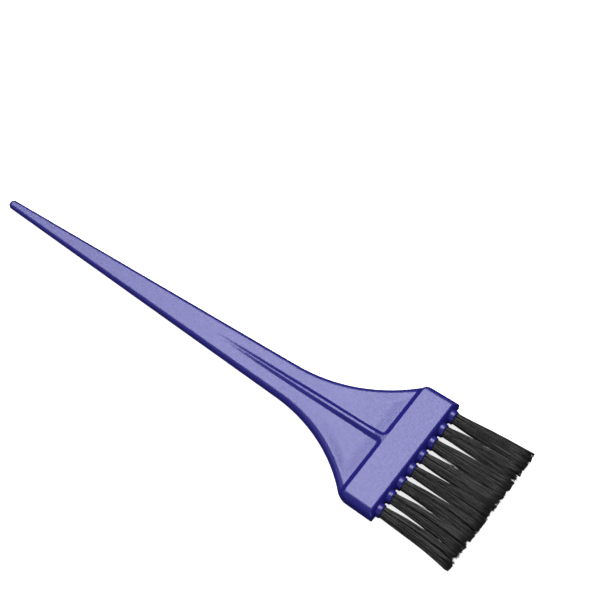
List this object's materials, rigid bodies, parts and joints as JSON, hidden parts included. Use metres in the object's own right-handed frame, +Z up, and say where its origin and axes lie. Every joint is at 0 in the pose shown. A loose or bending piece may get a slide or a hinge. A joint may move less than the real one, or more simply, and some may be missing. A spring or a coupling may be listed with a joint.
{
  "type": "tint brush",
  "caption": "Flat hair-tint brush: one-piece plastic handle with a pointed sectioning tail, a ribbed flare and a wide head bar holding a row of separate bristle tufts.",
  "frame": {"origin": "centre of the object's box on the plane of the head bar's underside", "axes": "+X from the pointed tail to the bristle ends, +Y across the head, +Z up out of the flat upper face; the brush lies flat"},
  "size_m": [0.215, 0.0558, 0.0071],
  "materials": {
    "handle_plastic": "satin moulded polypropylene, blue-violet",
    "bristle_nylon": "semi-matte black nylon filament",
    "anchor_wire": "drawn flat wire"
  },
  "bodies": {
    "root": {"handle": "handle_plastic", "tuft_1": "bristle_nylon", "tuft_2": "bristle_nylon", "tuft_3": "bristle_nylon", "tuft_4": "bristle_nylon", "tuft_5": "bristle_nylon", "tuft_6": "bristle_nylon", "tuft_7": "bristle_nylon", "tuft_8": "bristle_nylon", "anchor_1": "anchor_wire", "anchor_2": "anchor_wire", "anchor_3": "anchor_wire", "anchor_4": "anchor_wire", "anchor_5": "anchor_wire", "anchor_6": "anchor_wire", "anchor_7": "anchor_wire", "anchor_8": "anchor_wire"}
  },
  "joints": []
}
